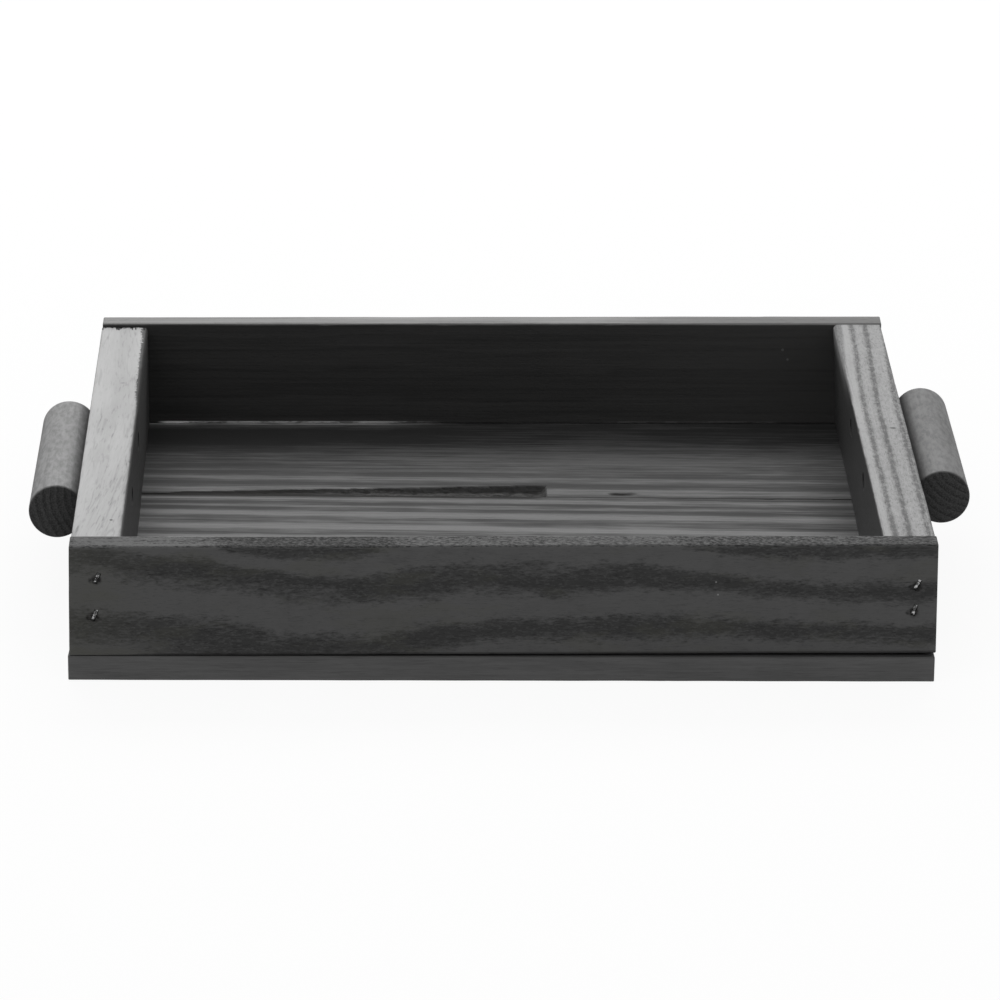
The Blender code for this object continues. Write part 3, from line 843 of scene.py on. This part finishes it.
def plank_stain(place):
    wood = Timber(f"{place}_plank_stain", seed=PLANK_SEEDS[place])
    low, high = box_mm(f"bottom_plank_{place}")
    fan = (47.0 - wood.y).highest(0.0).lowest(50.0) * FLOOR_FAN
    wood.bend_grain(wood.x * (fan + FLOOR_SLOPE))
    drift = wood.grain(0.006, 0.05, 2.0, 0.5, 5.0) - 0.5
    back = (wood.across + drift + wood.z * 0.3 - 3.3 - STREAKS_START[place]) / STREAKS_WIDTH
    streaks = wood.ramp(back, REAR_STREAKS if place == "rear" else MIDDLE_STREAKS)
    fine = wood.between(wood.grain(0.012, 0.8, 3.0, 0.75, 6.0), 0.38, 0.62) - 0.5
    patches = wood.between(wood.grain(0.03, 0.15, 2.0, 0.5, 7.0), 0.38, 0.62) - 0.5
    # Painted shade: the floor is darker towards the end blocks
    left_end_shade = wood.fade(wood.x, -125.0, -70.0)
    right_end_shade = wood.between(wood.x, 60.0, 125.0)
    figure = streaks * (left_end_shade * 0.2 + 1.0) + right_end_shade * 0.12 + fine * 0.36 + patches * 0.16
    upper_part = wood.between(wood.z, high.z - 6.0, high.z - 4.0)
    light = None
    if place == "front":
        # Painted shade of the gap under the front board, along the plank's top front arris
        gap_shade_line = wood.between(wood.z, high.z - 0.8, high.z - 0.4)
        gap_shade_line = gap_shade_line * wood.fade(wood.y, low.y + 2.0, low.y + 4.0)
        marks_and_shade = gap_shade_line * wood.between(wood.x, -175.0, -150.0, 0.1, 0.3)
    elif place == "middle":
        marks_and_shade = joint_line(wood, place) * upper_part
    else:
        # Painted shade: the rear of the floor is darker at the left and paler at the right, with a darker
        # patch at the rear left
        to_right = wood.between(wood.x, -130.0, 110.0)
        far = wood.between(wood.across, 72.0, 84.0) * wood.between(wood.across, 114.0, 136.0, 1.0, 0.2)
        rear_left_shade = wood.between(wood.across, 103.0, 114.0) * wood.fade(wood.x, -45.0, 5.0)
        figure = figure + far * (0.16 - to_right * 0.28) + rear_left_shade * 0.15 + 0.08
        figure = figure - wood.slit(23.0, 34.0, 50.0, 3.5) * 0.35
        light = rear_light(wood, high) * upper_part
        # Dark slits: painted shade in the gouge, and a dark notch near the right end
        gouge_shade_and_notch = wood.slit(49.5, 65.0, GOUGE_PLACE[1], 2.2).highest(wood.slit(150.0, 162.0, 38.5, 0.9))
        marks_and_shade = torn_strip_shade(wood).highest(joint_line(wood, place)).highest(gouge_shade_and_notch * upper_part)
    return wood.stain(
        figure,
        tone=0.078,
        deep=0.048,
        painted_sheen_tone=0.085,
        painted_sheen_deep=0.004,
        gloss=(0.45, 0.6),
        top_gloss=(0.38, 0.72),
        fibre_level=0.42,
        fibre_rates=(0.12, 1.1),
        pore_rates=(0.06, 1.6),
        ior_level=0.42,
        marks_and_shade=marks_and_shade,
        marks_and_shade_depth=0.2,
        light=light,
        light_tone=0.3,
    )


def handle_stain(end):
    left = end == "left"
    wood = Timber(f"{end}_handle_stain", along="y", seed=47.7 if left else 53.3)
    low, high = box_mm(f"{end}_handle")
    centre = (low + high) / 2
    pith = (centre.x + (35.0 if left else 15.5), centre.z + (9.0 if left else 22.0))
    distance = wood.pith_distance(*pith) + (wood.grain(0.01, 0.04, 2.0, 0.5, 5.0) - 0.5) * 5.0
    end_face = wood.between(wood.normal_y * wood.normal_y, 0.4, 0.8)
    side = 1.0 - end_face
    mottle = wood.between(wood.grain(0.16, 0.45, 4.0, 0.65, 7.0), 0.35, 0.65)
    rings = wood.rings(distance, spacing=3.1, late=0.4) * (0.15 + end_face * 0.65)
    return wood.stain(
        rings + mottle * side * 0.45 + end_face * 0.15,
        tone=0.021,
        deep=0.001,
        painted_sheen_tone=0.225 if left else 0.118,
        painted_sheen_deep=0.090 if left else 0.055,
        upward=(0.1, 0.95),
        fibre_level=side * 0.35 + 0.03,
        fibre_rates=(0.12, 1.6),
        pore_level=side * 0.15,
        pore_rates=(0.15, 1.5),
        worn_tone=0.12,
        worn_share=side * 0.1 + 0.2,
        relief=0.2,
        relief_share=side,
        ior_level=0.28,
    )


def steel(name, tone, roughness):
    finish = Finish(bpy.data.materials.new(name))
    place = finish.node("ShaderNodeTexCoord", out=3)
    scratch = finish.noise(place, 900.0, 3.0)
    stain = finish.between(finish.noise(place, 1000.0, 2.0), 0.42, 0.52)
    colour = finish.mix(finish.between(scratch, 0.4, 0.7), grey(tone), grey(tone * 0.6))
    colour = finish.mix(stain * 0.85, colour, grey(0.02))
    gloss = finish.between(scratch, 0.3, 0.7, roughness, roughness + 0.2) + stain * 0.2
    bump = finish.node("ShaderNodeBump", None, {"Strength": 0.2, "Distance": 0.05 * MM, "Height": scratch})
    return finish.shade(base_color=colour, metallic=0.9, roughness=gloss, normal=bump)


def dress(node, material):
    """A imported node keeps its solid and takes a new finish."""
    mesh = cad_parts[node].data
    mesh.materials.clear()
    mesh.materials.append(material)


def face_wave(seed, level=FACE_WAVE):
    """A shift that leaves faces a little uneven, as a plane leaves them."""

    def tune(u, v, w, out):
        amount = wander(u, v, w, 0.016, seed) * level + wander(u, v, w, 0.05, seed + 4) * level * 0.35
        return (0.0, out.x * amount, out.y * amount)

    return tune


def arris(u, seed, base=0.5, chip=0.9):
    """An arris's radius: uneven, and here and there a chip."""
    radius = base * (1.0 + 0.45 * wander(u, 0.0, 0.0, 0.05, seed))
    knock = wander(u, 0.0, 0.0, 0.11, seed + 9) - 0.42
    return radius + max(0.0, knock) * chip * 4.0


def board(node, seed, material, rim, wear, rise=0.0, sink=0.0, end_cuts=((0.0, 0.0), (0.0, 0.0))):
    """A thin board on edge, with its arrises uneven.

    rim is how much higher its front and its rear arris stand at the left and right end, rise how much higher
    the board's right end stands, and sink how far its foot is pressed down onto the planks. end_cuts are how
    far the foot and the top of the left and the right end reach to the right of a square cut.
    """
    low, high = box_mm(node)
    tall = high.z - low.z - rise
    chip, foot_wear, rim_wear = wear
    splits = ([], even(9), [0.5], even(9))

    def section(u, shrink):
        rounds = [arris(u, seed + corner, chip=chip) for corner in range(4)]
        rounds[0] += foot_wear
        rounds[3] += rim_wear
        return rounded_section((low.y, -sink), (high.y, tall), rounds, splits, shrink)

    wave = face_wave(seed)

    def tune(u, v, w, out):
        along, across, up = wave(u, v, w, out)
        share = (u - low.x) / (high.x - low.x)
        level = w / tall
        left_cut, right_cut = (blend(foot, top, level) for foot, top in end_cuts)
        torn = wander(w * 2.0, v, 0.0, 0.05, seed) * 0.15
        at_left, at_right = end_weights(share)
        along += (left_cut + torn) * at_left + right_cut * at_right
        front, rear = (blend(left, right, share) for left, right in rim)
        up += blend(front, rear, (v - low.y) / (high.y - low.y)) * max(0.0, level * 6.0 - 5.0)
        up -= 0.35 * rise * share * (1.0 - level)
        return (along, across, up)

    piece = loft(f"{node}_wood", "x", stations(low.x, high.x), section, tune)
    turn = Matrix.Rotation(-math.asin(rise / (high.x - low.x)), 4, "Y")
    foot = Vector((low.x, 0.0, low.z)) * MM
    piece.data.transform(Matrix.Translation(foot) @ turn @ Matrix.Translation((-foot.x, 0.0, 0.0)))
    finish_piece(piece, node, material)


def block(end, seed, material):
    """A thick end block with sawn ends."""
    node = f"{end}_end_block"
    low, high = box_mm(node)
    splits = (even(4), even(9), even(18), even(9))

    def section(u, shrink):
        rounds = [arris(u, seed + corner, base=0.55) for corner in range(4)]
        towards_rear = min(1.0, max(0.0, (u - 30.0) / 30.0))
        rubbed = 0.4 + 0.9 * towards_rear if end == "right" else 1.4
        rounds[3 if end == "right" else 2] += rubbed + 0.4 * wander(u, 1.0, 1.0, 0.2, seed)
        return rounded_section((low.x, low.z), (high.x, high.z), rounds, splits, shrink)

    wave = face_wave(seed)

    def tune(u, v, w, out):
        along, across, up = wave(u, v, w, out)
        from_end = high.y - u
        to_inner = (v - low.x) / (high.x - low.x) if end == "left" else (high.x - v) / (high.x - low.x)
        front_shift, rear_shift = FOOT_SHIFTS[end]
        level = (w - low.z) / (high.z - low.z)
        across += blend(rear_shift, front_shift, from_end / (high.y - low.y)) * to_inner * (1.0 - level)
        out_spread, in_spread = BLOCK_SPREADS[end]
        spread = (out_spread * (1.0 - to_inner) - in_spread * to_inner) * level
        across += spread if end == "right" else -spread
        if end == "left" and from_end < TEETH_REACH and w > high.z - TEETH_HEIGHT:
            tooth = max(0.0, noise.noise(Vector((v * 0.9, 3.3, 7.7)))) * TEETH_LENGTH
            tooth *= 1 - from_end / TEETH_REACH
            along -= tooth
            up -= tooth * 0.35
        return (along, across, up)

    piece = loft(f"{node}_wood", "y", stations(low.y, high.y), section, tune)
    finish_piece(piece, node, material)


def plank_edges(node):
    """The Y of a plank's front and rear edge at its left and right end."""
    places = [vert.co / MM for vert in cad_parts[node].data.vertices]
    ends = []
    for limit in (min(place.x for place in places), max(place.x for place in places)):
        near = [place.y for place in places if abs(place.x - limit) < 1.0]
        ends.append((min(near), max(near)))
    return ends


def torn_share(u):
    """How far along the torn strip a place is, from 0 at its thin left end to 1."""
    return min(1.0, max(0.0, (u - TORN_START) / (TORN_END - TORN_START)))


def torn_edge(u, from_edge):
    """How deep the rear plank's front edge is torn away there, from 0 to 1."""
    if not TORN_START <= u <= TORN_END:
        return 0.0
    width = blend(*TORN_WIDTHS, torn_share(u))
    width += 0.8 * wander(u, 0.0, 0.0, 0.15, 5.0) + 0.5 * noise.noise(Vector((u * 0.6, 0.0, 8.8)))
    width *= min(1.0, (u - TORN_START) / 10.0)
    close = min(1.0, (TORN_END - u) / 1.5)
    return max(0.0, min(1.0, width - from_edge)) * close


def gouge(u, v):
    """How deep the small gouge beside the torn strip is, in millimetres."""
    along = (u - GOUGE_PLACE[0]) / GOUGE_REACH[0]
    across = (v - GOUGE_PLACE[1]) / GOUGE_REACH[1]
    return GOUGE_DEPTH * max(0.0, 1.0 - along * along - across * across)


def plank(place, seed):
    node = f"bottom_plank_{place}"
    low, high = box_mm(node)
    (left_front, left_rear), (right_front, right_rear) = plank_edges(node)
    fine_step, width = 0.8, 90.0
    near_edge = [1 - number * fine_step / width for number in range(24, 0, -1)]
    top = even(12)[:8] + near_edge if place == "rear" else even(16)
    splits = (even(8), [0.5], top, [0.5])

    def edges(u):
        share = (u - low.x) / (high.x - low.x)
        return blend(left_front, right_front, share), blend(left_rear, right_rear, share)

    def section(u, shrink):
        front, rear = edges(u)
        rounds = [arris(u, seed + corner, base=0.4, chip=0.6) for corner in range(4)]
        return rounded_section((front, low.z), (rear, high.z), rounds, splits, shrink)

    wave = face_wave(seed, level=0.07)

    def tune(u, v, w, out):
        along, across, up = wave(u, v, w, out)
        if place == "front":
            share = (u - low.x) / (high.x - low.x)
            nearness = max(0.0, 1.0 - (v - low.y) / FRONT_EDGE_REACH)
            at_left, at_right = end_weights(share)
            along += FRONT_END_SHIFT * at_right + FRONT_CORNER_SHIFT * at_left * nearness
            across += blend(*FRONT_EDGE_SHIFTS, share) * nearness
        if place == "rear" and w > high.z - 1.5:
            depth = blend(*TORN_DEPTHS, torn_share(u))
            rough = 1.0 + 0.35 * noise.noise(Vector((u * 0.4, v * 0.7, 2.2)))
            up -= torn_edge(u, v - edges(u)[0]) * depth * rough + gouge(u, v)
        return (along, across, min(up, high.z + 0.05 - w))

    piece = loft(f"{node}_wood", "x", stations(low.x, high.x, ease=0.45), section, tune)
    if place == "rear":
        layer = piece.data.attributes.new("torn", "FLOAT", "POINT")
        for number, vert in enumerate(piece.data.vertices):
            co = vert.co / MM
            if co.z > high.z - 5.0:
                layer.data[number].value = torn_edge(co.x, co.y - edges(co.x)[0])
    finish_piece(piece, node, plank_stain(place))


def handle(end, seed):
    """A dowel with one planed side against its block."""
    node = f"{end}_handle"
    low, high = box_mm(node)
    side = -1 if end == "left" else 1
    radius = (high.z - low.z) / 2
    outer, flat = (low.x, high.x - LEFT_FLAT_CUT) if end == "left" else (high.x, low.x)
    centre = Vector((outer - side * radius, (low.z + high.z) / 2))
    sides, flat_splits = 56, 6

    def section(u, shrink):
        places = []
        now = radius - shrink
        reach = abs(flat - centre.x) - shrink
        span = math.acos(min(1.0, reach / now))
        for number in range(sides + 1):
            angle = span + (math.tau - 2 * span) * number / sides
            direction = Vector((-side * math.cos(angle), math.sin(angle)))
            on_corner = number in (0, sides)
            places.append((centre + direction * now, direction, 1.0 if on_corner else 0.0))
        first, last = places[-1][0], places[0][0]
        for number in range(1, flat_splits):
            places.append((blend(first, last, number / flat_splits), Vector((-side, 0.0)), 0.0))
        return places

    places = stations(low.y, high.y, ease=0.9, step=2.0)
    piece = loft(f"{node}_wood", "y", places, section, face_wave(seed, level=0.08))
    finish_piece(piece, node, handle_stain(end))


def make_stage():
    finish = Finish(bpy.data.materials.new("pale_floor"))
    cloth = finish.node("ShaderNodeBsdfDiffuse", None, {"Color": FLOOR_TONE})
    glow = finish.node("ShaderNodeEmission", None, {"Color": WHITE, "Strength": 1.0})
    surface = finish.node("ShaderNodeMixShader", None, {0: finish.seen(FLOOR_GLOW_SHARE), 1: cloth, 2: glow})
    finish.node("ShaderNodeOutputMaterial", None, {"Surface": surface})
    bpy.ops.mesh.primitive_plane_add(size=FLOOR_SIZE, location=(0.0, 0.0, FLOOR_HEIGHT))
    floor = bpy.context.object
    floor.name = "floor"
    floor.data.materials.append(finish.owner)


def make_sky():
    bpy.context.scene.world = bpy.data.worlds.new("studio")
    sky = Finish(bpy.context.scene.world)
    soft = sky.node("ShaderNodeBackground", None, {"Color": WHITE, "Strength": SKY_LEVEL})
    white = sky.node("ShaderNodeBackground", None, {"Color": WHITE, "Strength": 1.0})
    surface = sky.node("ShaderNodeMixShader", None, {0: sky.seen(), 1: soft, 2: white})
    sky.node("ShaderNodeOutputWorld", None, {"Surface": surface})


def area_light(name, place, size, power):
    """A rectangle of light that faces the tray."""
    data = bpy.data.lights.new(name, "AREA")
    data.shape = "RECTANGLE"
    data.size, data.size_y = size
    data.energy = power
    light = add_object(name, data)
    light.location = place
    light.rotation_euler = (-Vector(place)).to_track_quat("-Z", "Y").to_euler()


def make_camera():
    data = bpy.data.cameras.new("camera")
    data.sensor_width = SENSOR_WIDTH
    data.lens = LENS
    data.clip_end = 20.0
    camera = add_object("camera", data)
    turn = Matrix.Rotation(-CAMERA_YAW, 4, "Z") @ Matrix.Rotation(math.pi / 2 - CAMERA_PITCH, 4, "X")
    camera.matrix_world = Matrix.Translation(CAMERA_PLACE) @ turn @ Matrix.Rotation(CAMERA_ROLL, 4, "Z")
    bpy.context.scene.camera = camera


make_stage()
make_sky()
area_light("back_light", place=(0.0, 1.7, 1.75), size=(2.2, 1.1), power=BACK_LIGHT_POWER)
area_light("key_light", place=(-0.8, -0.8, 1.8), size=(1.4, 1.4), power=KEY_LIGHT_POWER)
make_camera()

board(
    "front_board",
    seed=5.0,
    material=front_board_stain(),
    rim=FRONT_RIM,
    wear=FRONT_WEAR,
    rise=FRONT_RISE,
    end_cuts=FRONT_END_CUTS,
)
board("back_board", seed=13.0, material=back_board_stain(), rim=BACK_RIM, wear=BACK_WEAR, sink=BACK_SINK)
block("left", seed=61.0, material=left_block_stain())
block("right", seed=67.0, material=right_block_stain())
handle("left", seed=89.0)
handle("right", seed=97.0)
plank("front", seed=71.0)
plank("middle", seed=79.0)
plank("rear", seed=83.0)

staple_wire = steel("staple_steel", tone=0.42, roughness=0.35)
screw_zinc = steel("screw_steel", tone=0.03, roughness=0.75)
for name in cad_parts:
    if "staple" in name:
        dress(name, staple_wire)
    elif "screw" in name:
        dress(name, screw_zinc)

bpy.context.scene.view_settings.view_transform = "Standard"
